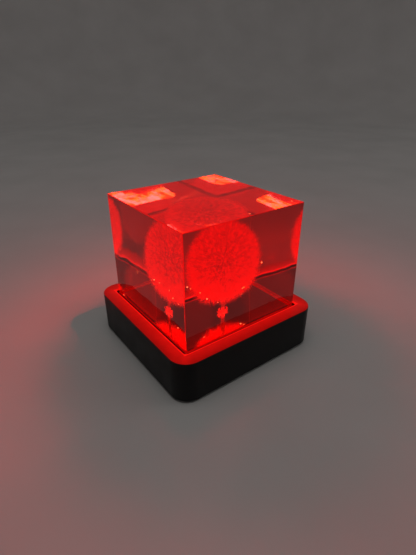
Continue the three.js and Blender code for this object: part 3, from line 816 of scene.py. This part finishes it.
def ribbon(line, section, widths, across):
    """A flat section swept along a line that stays in one plane; across is that plane's normal."""
    rings = []
    for i, at in enumerate(line):
        ahead = (line[min(i + 1, len(line) - 1)] - line[max(i - 1, 0)]).normalized()
        lift = across.cross(ahead)
        rings.append([tuple(at + across * a * widths[i] + lift * b) for a, b in section])
    return loft(rings)


def bracts():
    """Narrow leaves folded back down along the stalk."""
    draw = random.Random(5)
    top = UPRIGHT_HEAD_Z - 2.8
    collar = turned([(1.3, -0.9), (3.0, -0.7), (3.3, -0.2), (3.0, 0), (1.3, 0)], 32)
    parts = [shifted(collar, 0, 0, top)]
    shares = [k / BRACT_STEPS for k in range(BRACT_STEPS + 1)]
    widths = [1.5 * math.sin(math.pi * (0.2 + 0.8 * t)) + 0.12 for t in shares]
    section = [(-0.5, -0.05), (0, -0.14), (0.5, -0.05), (0.5, 0.05), (0, 0.02), (-0.5, 0.05)]
    for i in range(BRACT_COUNT):
        turn = 2 * math.pi * (i + draw.uniform(-0.15, 0.15)) / BRACT_COUNT
        radial = Vector((math.cos(turn), math.sin(turn), 0))
        length = BRACT_LENGTH * draw.uniform(0.85, 1)
        spread = draw.uniform(1.2, 2.1)
        line = [radial * (2.9 + spread * math.sin(1.5 * t)) + Vector((0, 0, top - 0.5 - length * t))
                for t in shares]
        across = Vector((0, 0, 1)).cross(radial)
        parts.append(ribbon(line, section, widths, across))
    made = mesh_object("bract_leaves", [moved(merged(*parts), LEAN)], [leaf])
    soften(made, 50, weighted=False)
    settle(made, "block", "stalk", "bracts")


def air_bubbles():
    """Small bubbles round the lower half of the seed head."""
    draw = random.Random(23)
    parts = []
    for _ in range(BUBBLE_COUNT):
        turn = draw.uniform(0, 2 * math.pi)
        slope = math.radians(draw.uniform(-62, -8))
        radius = draw.uniform(0.12, 0.34)
        out = HEAD_R + 0.3 + draw.uniform(0, 0.6)
        level = math.cos(slope)
        at = HEAD + out * Vector((math.cos(turn) * level, math.sin(turn) * level, math.sin(slope)))
        ball = turned([(0, -radius)] + arc(0, 0, radius, -72, 72, 8) + [(0, radius)], 16)
        parts.append(shifted(ball, *at))
    made = mesh_object("air_bubbles", [merged(*parts)], [bubbles])
    made.data.shade_smooth()
    settle(made, "block", "clear_resin")


def ground_border():
    """The underside's outer edge, ground flat and dull: a thin ring with a painted glow for the light in the
    block that shows there.
    """
    outer = BLOCK_HIGH.x - 0.15
    inner = outer - GROUND_BORDER
    low, high = BLOCK_LOW.z + 0.05, BLOCK_LOW.z + 0.12
    rings = [ring(outer, outer, 0.3, low), ring(outer, outer, 0.3, high),
             ring(inner, inner, 0.5, high), ring(inner, inner, 0.5, low)]
    made = mesh_object("ground_border", [loft(rings, closed=True)], [ground_edge])
    settle(made, "block", "clear_resin")


# ---------- the base ----------


def housing():
    """One moulded shell: sides, rim, seat, window opening and the deck over the inside."""
    side = BASE_HIGH.x
    inner = side - WALL
    inner_r = BASE_CORNER_R - WALL
    top, bottom = BASE_HIGH.z, BASE_LOW.z
    foot_r, edge_r, lip_r = 0.3, 0.45, 0.35
    rows = [(side + d, BASE_CORNER_R + d, z)
            for d, z in arc(-foot_r, bottom + foot_r, foot_r, -90, 0, 3)]
    rows += [(side + d, BASE_CORNER_R + d, z) for d, z in arc(-edge_r, top - edge_r, edge_r, 0, 90, 5)]
    rows += [(SEAT_HALF + d, SEAT_CORNER_R + d, z) for d, z in arc(lip_r, top - lip_r, lip_r, 90, 180, 5)]
    rows += [
        (SEAT_HALF, SEAT_CORNER_R, SEAT_FLOOR + 0.15),
        (SEAT_HALF - 0.15, SEAT_CORNER_R - 0.15, SEAT_FLOOR),
        (WINDOW_HALF + 0.3, WINDOW_CORNER_R + 0.3, SEAT_FLOOR),
        (WINDOW_HALF + 0.2, WINDOW_CORNER_R + 0.2, SEAT_FLOOR - 0.1),
        (WINDOW_HALF + 0.2, WINDOW_CORNER_R + 0.2, LEDGE_TOP),
        (WINDOW_HALF - WINDOW_LEDGE, WINDOW_CORNER_R - WINDOW_LEDGE, LEDGE_TOP),
        (WINDOW_HALF - WINDOW_LEDGE, WINDOW_CORNER_R - WINDOW_LEDGE, DECK_UNDERSIDE),
        (inner - 0.5, inner_r - 0.5, DECK_UNDERSIDE),
        (inner, inner_r, DECK_UNDERSIDE - 0.5),
        (inner, inner_r, bottom + 0.15),
        (inner + 0.15, inner_r + 0.15, bottom),
    ]
    shell = loft([ring(half, half, r, z, 12) for half, r, z in rows], closed=True)
    switch_recess = cuboid(-7, 7, side - 1, side + 3, SWITCH_Z - 3.5, SWITCH_Z + 3.5, 0.7)
    switch_slot = cuboid(-3.3, 3.3, side - WALL - 1, side + 1, SWITCH_Z - 1.6, SWITCH_Z + 1.6, 0.25)
    door_half = DOOR_HIGH.x + 1.1
    door_slot = cuboid(-door_half, door_half, side - WALL - 1, side + 1, -2, DOOR_HIGH.z + 0.3, 0.3)
    piece("housing_shell", "base", "black_plastic", [shell], [housing_plastic], ["base_housing"],
          removed=[switch_recess, switch_slot, door_slot])
    foot = COVER_HIGH_AT_POSTS
    post = turned([(1.4, foot), (2.8, foot), (3, foot + 0.2), (3, DECK_UNDERSIDE),
                   (0.02, DECK_UNDERSIDE), (0.02, SCREW_HOLE_TOP), (1.4, SCREW_HOLE_TOP)], 32)
    posts = merged(*[shifted(post, sx * SCREW_XY, sy * SCREW_XY) for sx, sy in CORNER_SIGNS])
    piece("screw_posts", "base", "black_plastic", [posts], [black_plastic])


def window_and_lamps():
    """The frosted window and the lamps under it, each a white carrier with a low dome."""
    dome = [(0, 0.5), (1.3, 0.5)]
    dome += [(1.3 * a, 0.62 + 0.22 * b) for a, b in arc(0, 0, 1, 0, 75, 5)]
    dome.append((0, 0.84))
    part = slab(WINDOW_HALF, WINDOW_HALF, WINDOW_CORNER_R, LENS_LOW.z, LENS_HIGH.z, 0.12)
    piece("window_frosted", "base", "frosted_window", [part], [window], ["window_lens"])
    for i in range(LED_COUNT):
        name = f"led_{i + 1}"
        low, high = box_mm(name)
        x, y = (low.x + high.x) / 2, (low.y + high.y) / 2
        half = (high.x - low.x) / 2
        carrier = cuboid(x - half, x + half, y - half, y + half, low.z, low.z + 0.64, 0.12)
        piece(f"lamp_{i + 1}", "base", "lamp", [carrier, shifted(turned(dome, 32), x, y, low.z)],
              [white_plastic, lamp], [name])


def cover():
    """Bottom plate with the door's opening and grooves, countersunk holes and board posts."""
    half = COVER_HIGH.x
    low, high = COVER_LOW.z, COVER_HIGH_AT_POSTS - 0.05
    opening = DOOR_HALF + 0.3
    groove = opening + 1.2
    front = DOOR_LOW.y - 0.3
    reach = half + 2
    plate = slab(half, half, BASE_CORNER_R - WALL - 0.2, low, high, 0.2)
    removed = [
        cuboid(-opening, opening, front, reach, -1, high + 1, 0.3),
        cuboid(-groove, groove, front, reach, 1.8, 2.65, 0.05),
    ]
    sink = turned([(0, low - 1), (2.9, low - 1), (2.9, low), (1.5, low + 1.3), (1.5, high + 1),
                   (0, high + 1)], 32)
    removed += [shifted(sink, sx * SCREW_XY, sy * SCREW_XY) for sx, sy in CORNER_SIGNS]
    made = mesh_object("cover_plate", [plate], [black_plastic])
    tall = COVER_HIGH.z
    post = turned([(0.9, tall), (2.0, tall), (2.2, tall - 0.2), (2.2, high - 0.3), (0.9, high - 0.3)], 32)
    carved(made, removed)
    soften(made)
    settle(made, "base", "black_plastic", "bottom_cover")
    posts = [shifted(post, x, BOARD_SCREW_Y) for x in (-BOARD_SCREW_X, BOARD_SCREW_X)]
    piece("board_posts", "base", "black_plastic", [merged(*posts)], [black_plastic])


def door():
    """Plate that slides backwards, with tongues at its sides and three grip ribs underneath."""
    front, rear = DOOR_LOW.y, DOOR_HIGH.y
    bottom, top = 1.1, DOOR_HIGH.z
    plate = cuboid(-DOOR_HALF, DOOR_HALF, front, rear, bottom, top, 0.2)
    tongues = cuboid(-DOOR_HIGH.x, DOOR_HIGH.x, front + 0.5, rear - 3, 1.95, top - 0.05, 0.1)
    ribs = [cuboid(-8, 8, rear - 8.5 + 2.5 * i, rear - 7.3 + 2.5 * i, bottom - 0.4, bottom + 0.4, 0.18)
            for i in range(3)]
    piece("door_plate", "door", "black_plastic", [plate], [black_plastic], ["battery_door"],
          added=[tongues, *ribs])


# ---------- fastenings, feet and the electrics ----------


def in_place(part, name, z=0):
    """A part made about the Z axis, put at the middle of a CAD node's footprint."""
    low, high = box_mm(name)
    return shifted(part, (low.x + high.x) / 2, (low.y + high.y) / 2, z)


def feet_and_screws():
    """The ring-shaped feet, the ribbed screws above them and the control board's two screws."""
    for i in range(4):
        foot = f"rubber_foot_{i + 1}"
        high = box_mm(foot)[1].z
        profile = [(0, 0.12), (2.6, 0.12), (2.75, 0), (3.45, 0)] + arc(3.5, 0.3, 0.3, -60, 0, 4)
        profile += [(3.8, high - 0.1), (3.7, high), (0, high)]
        piece(f"foot_{i + 1}", "base", "rubber", [in_place(turned(profile, 48), foot)],
              [rubber], [foot])
        screw = f"cover_screw_{i + 1}"
        low, top = box_mm(screw)
        profile = [(0, low.z), (2.4, low.z), (2.5, low.z + 0.1), (1.15, low.z + 1.35)]
        z = low.z + 1.6
        while z < top.z - 1.6:
            profile += [(1.15, z), (0.95, z + 0.2), (0.95, z + 0.35), (1.15, z + 0.55)]
            z += 0.9
        profile += [(1.15, top.z - 1), (0, top.z)]
        piece(f"plate_screw_{i + 1}", "base", "screw_steel",
              [in_place(turned(profile, 32), screw)], [steel], [screw])
    for i in range(2):
        screw = f"board_screw_{i + 1}"
        low, top = box_mm(screw)
        head = top.z - 1.2
        profile = [(0, low.z), (0.6, low.z), (0.7, low.z + 0.2), (0.7, head), (1.75, head)]
        profile += [(1.8, head + 0.1), (1.8, head + 0.6), (1.65, head + 0.9), (1.2, top.z), (0, top.z)]
        driven = [cuboid(-0.14, 0.14, -0.9, 0.9, top.z - 0.5, top.z + 1, 0.03),
                  cuboid(-0.9, 0.9, -0.14, 0.14, top.z - 0.5, top.z + 1, 0.03)]
        piece(f"circuit_screw_{i + 1}", "base", "screw_steel",
              [in_place(turned(profile, 32), screw)], [steel], [screw],
              removed=[in_place(cut, screw) for cut in driven])


def cells():
    """AAA cells: a steel can with a raised end, in a printed jacket with rolled edges."""
    for i in range(CELL_COUNT):
        name = f"battery_{i + 1}"
        low, high = box_mm(name)
        facing = 1 if i % 2 == 0 else -1
        length = high.x - low.x
        r = high.y - (low.y + high.y) / 2
        can = [(0, 0.15), (2.6, 0.15), (3.0, 0), (r - 0.7, 0), (r - 0.15, 0.5), (r - 0.15, length - 1.6),
               (r - 0.8, length - 1.0), (2.1, length - 1.05), (1.9, length - 0.9), (1.9, length - 0.15),
               (1.75, length), (0, length)]
        wrap = [(r - 0.5, 0.05), (r - 0.1, 0.15), (r, 0.45), (r, length - 1.75), (r - 0.1, length - 1.4),
                (r - 0.6, length - 1.0), (r - 0.75, length - 1.2), (r - 0.2, length - 1.7),
                (r - 0.16, 0.5), (r - 0.5, 0.2)]
        turn = Matrix.Rotation(math.radians(90 * facing), 4, "Y")
        start = low.x if facing > 0 else high.x
        middle = ((low.y + high.y) / 2, (low.z + high.z) / 2)
        put = Matrix.Translation((start, *middle)) @ turn
        piece(f"cell_{i + 1}", "base", "cell_jacket",
              [moved(turned(can, 64), put), moved(turned(wrap, 64), put)], [nickel, jacket], [name])
        spring = f"contact_spring_{i + 1}"
        low, high = box_mm(spring)
        wire_r = 0.3
        turns, per_turn = 3, 24
        begin, end = (low.x + wire_r, high.x - wire_r) if facing > 0 else (high.x - wire_r, low.x + wire_r)
        line = []
        for k in range(turns * per_turn + 1):
            t = k / (turns * per_turn)
            a = 2 * math.pi * turns * t
            r_now = 3.2 - 1.4 * t
            line.append((begin + (end - begin) * t, middle[0] + r_now * math.cos(a),
                         middle[1] + r_now * math.sin(a)))
        piece(f"spring_{i + 1}", "base", "nickel", [along(line, round_section(wire_r - 0.02, 10))],
              [nickel], [spring])


def circuit_parts():
    """The capacitor's can in its sleeve, and the chip with its eight legs."""
    low, high = box_mm("capacitor")
    tall = high.z - low.z
    tin = [(0, 0.05), (2.2, 0.05), (2.3, tall - 0.35), (2.1, tall - 0.05), (0, tall - 0.12)]
    wrap = [(2.0, 0), (2.4, 0), (2.5, 0.12), (2.5, 0.8), (2.32, 1.15), (2.32, 1.45), (2.5, 1.8),
            (2.5, tall - 0.3), (2.35, tall - 0.05), (1.9, tall), (1.85, tall - 0.08), (2.2, tall - 0.25)]
    piece("capacitor_can", "base", "capacitor_sleeve",
          [in_place(turned(tin, 48), "capacitor", low.z), in_place(turned(wrap, 48), "capacitor", low.z)],
          [nickel, sleeve], ["capacitor"])
    low, high = box_mm("controller_chip")
    x, y = (low.x + high.x) / 2, (low.y + high.y) / 2
    body = cuboid(x - 2.5, x + 2.5, y - 2, y + 2, low.z + 0.2, high.z, 0.14)
    legs = []
    for step in (-1.9, -0.63, 0.63, 1.9):
        for side in (-1, 1):
            bend = [(x + step, y + side * r, low.z + h) for r, h in
                    ((1.9, 0.62), (2.25, 0.62), (2.42, 0.5), (2.5, 0.2), (2.62, 0.1), (2.96, 0.08))]
            flat = [(-0.19, -0.07), (0.19, -0.07), (0.19, 0.07), (-0.19, 0.07)]
            legs.append(along(bend, flat))
    piece("chip_package", "base", "chip", [body, merged(*legs)], [chip_plastic, nickel],
          ["controller_chip"])


def lead(name, made_name, slot, finish, points, radius):
    """One wire along a smooth line through the points."""
    line = smooth_line(points, 60)
    piece(made_name, "base", slot, [along(line, round_section(radius, 14))], [finish], [name])


def leads():
    """The wires, along their CAD routes."""
    low_z = CONTROL_BOARD_HIGH.z
    seat = low_z + 0.05
    board_edge_y = -(WINDOW_HALF + 3) - 0.4
    board_mid = LED_BOARD_HIGH.z - 0.45
    for i in range(4):
        low, high = box_mm(f"led_lead_{i + 1}")
        x = (low.x + high.x) / 2
        route = [(x, -29.8, seat + 1.8), (x, -29.8, seat + 5.4), (x, -28.4, 13.4),
                 (x, board_edge_y, board_mid)]
        lead(f"led_lead_{i + 1}", f"lamp_lead_{i + 1}", "grey_wire", grey_wire, route, LAMP_LEAD_R)
    plate = box_mm("contact_negative")[0].x - 0.1
    lead("battery_lead_negative", "lead_negative", "black_wire", black_wire, [
        (plate, -CELL_PITCH, 11.8), (-28.5, -CELL_PITCH, 11.8), (-31, -16, 10), (-25, -27, 8),
        (-17, -27.5, 7.2), (-15.5, -27.5, seat + 0.7)], LEAD_R)
    lead("battery_lead_positive", "lead_positive", "red_wire", red_wire, [
        (-plate, CELL_PITCH, 11.8), (28.5, CELL_PITCH, 11.8), (31, 18, 11.2), (22, 26, 10.4),
        (10, 27.3, SWITCH_Z), (2.6, 27.4, SWITCH_Z)], LEAD_R)
    lead("switched_lead", "lead_switched", "red_wire", red_wire, [
        (0, 27.4, SWITCH_Z), (-4, 25.5, 9.6), (-22, 25, 8.4), (-31.5, 16, 7.6),
        (-32, -10, 7.2), (-28, -20.8, 7), (-17, -22, seat + 0.7)], LEAD_R)


def keep_cad_nodes():
    """CAD nodes whose shape is right: their edges are rounded a little and they get their finish."""
    kept = {
        "reflector_frame": (white_plastic, 0.15),
        "led_board": (board, 0.08),
        "battery_tray": (black_plastic, 0.2),
        "control_board": (board, 0.08),
        "lead_connector": (cream_plastic, 0.12),
        "switch_body": (chip_plastic, 0.12),
        "switch_slider": (chip_plastic, 0.1),
        "contact_negative": (nickel, 0.08),
        "contact_positive": (nickel, 0.08),
        "contact_link_1": (nickel, 0.08),
        "contact_link_2": (nickel, 0.08),
        "resistor_1": (ceramic, 0.08),
        "resistor_2": (ceramic, 0.08),
        "resistor_3": (ceramic, 0.08),
    }
    for name, (finish, radius) in kept.items():
        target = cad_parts[name]
        target.data.materials.clear()
        target.data.materials.append(finish)
        weld = target.modifiers.new("weld", "WELD")
        weld.merge_threshold = 1e-6
        bevel = target.modifiers.new("edges", "BEVEL")
        bevel.width = radius * MM
        bevel.segments = 2
        bevel.limit_method = "ANGLE"
        bevel.angle_limit = math.radians(40)
        bevel.use_clamp_overlap = True


# ---------- stage and light ----------


def soft_lamp(name, at, aim, size, power, colour):
    """A round area lamp, in metres, that doesn't show in the resin or in a reflection."""
    data = bpy.data.lights.new(name, "AREA")
    data.shape = "DISK"
    data.size = size
    data.energy = power
    data.color = colour
    made = bpy.data.objects.new(name, data)
    made.location = at
    made.rotation_mode = "QUATERNION"
    made.rotation_quaternion = (Vector(aim) - Vector(at)).to_track_quat("-Z", "Y")
    made.visible_glossy = False
    made.visible_transmission = False
    bpy.context.scene.collection.objects.link(made)


def block_glow():
    """The block's red light on the table, from just under its top; it doesn't light the near fluff."""
    data = bpy.data.lights.new("block glow", "POINT")
    data.energy = BLOCK_GLOW_POWER
    data.color = (1, 0.02, 0.01)
    data.shadow_soft_size = BLOCK_GLOW_R * MM
    made = bpy.data.objects.new("block glow", data)
    made.location = Vector((0, 0, BLOCK_HIGH.z - BLOCK_GLOW_DEPTH)) * MM
    made.visible_transmission = False
    made.visible_glossy = False
    bpy.context.scene.collection.objects.link(made)
    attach(made, "block")
    unlit = bpy.data.collections.new("not lit by the block glow")
    unlit.objects.link(bpy.data.objects["pappus_fluff"])
    made.light_linking.receiver_collection = unlit
    for member in unlit.collection_objects:
        member.light_linking.link_state = "EXCLUDE"


def studio():
    """A pale floor that curves up into a wall all round, soft lamps and dim air."""
    paint, tree, shader = new_material("pale floor")
    cloud = speckle(tree, place_of(tree), 90, 3)
    plug(tree, shader, {
        "Base Color": shades(tree, cloud, FLOOR_SHADES),
        "Roughness": ranged(tree, cloud, 0.3, 0.7, 0.2, 0.26),
    })
    profile = [(0, 0)] + arc(FLOOR_R, CURVE_R, CURVE_R, -90, 0, 16) + [(FLOOR_R + CURVE_R, WALL_TOP)]
    floor = mesh_object("floor", [turned(profile, 96)], [paint])
    floor.data.shade_smooth()

    world = bpy.data.worlds.new("air")
    world.use_nodes = True
    air = world.node_tree.nodes["Background"]
    air.inputs["Color"].default_value = AIR_COLOUR
    air.inputs["Strength"].default_value = AIR_STRENGTH
    bpy.context.scene.world = world

    soft_lamp("overhead", at=(-0.2, -0.1, 1.5), aim=(0, 0, 0), size=1.2, power=3.2,
              colour=(1, 0.97, 0.94))
    soft_lamp("side", at=(0.9, -0.6, 0.8), aim=(0, 0, 0.03), size=0.6, power=0.7,
              colour=(1, 0.98, 0.96))
    block_glow()


# ---------- build ----------

resin_block()
seed_head()
flower_stem()
bracts()
air_bubbles()
ground_border()
housing()
window_and_lamps()
cover()
door()
feet_and_screws()
cells()
circuit_parts()
leads()
keep_cad_nodes()
studio()

scene = bpy.context.scene
scene.view_settings.view_transform = "Standard"
scene.cycles.max_bounces = 24
scene.cycles.transmission_bounces = 24
scene.cycles.glossy_bounces = 12
scene.cycles.diffuse_bounces = 3
scene.cycles.sample_clamp_indirect = 4
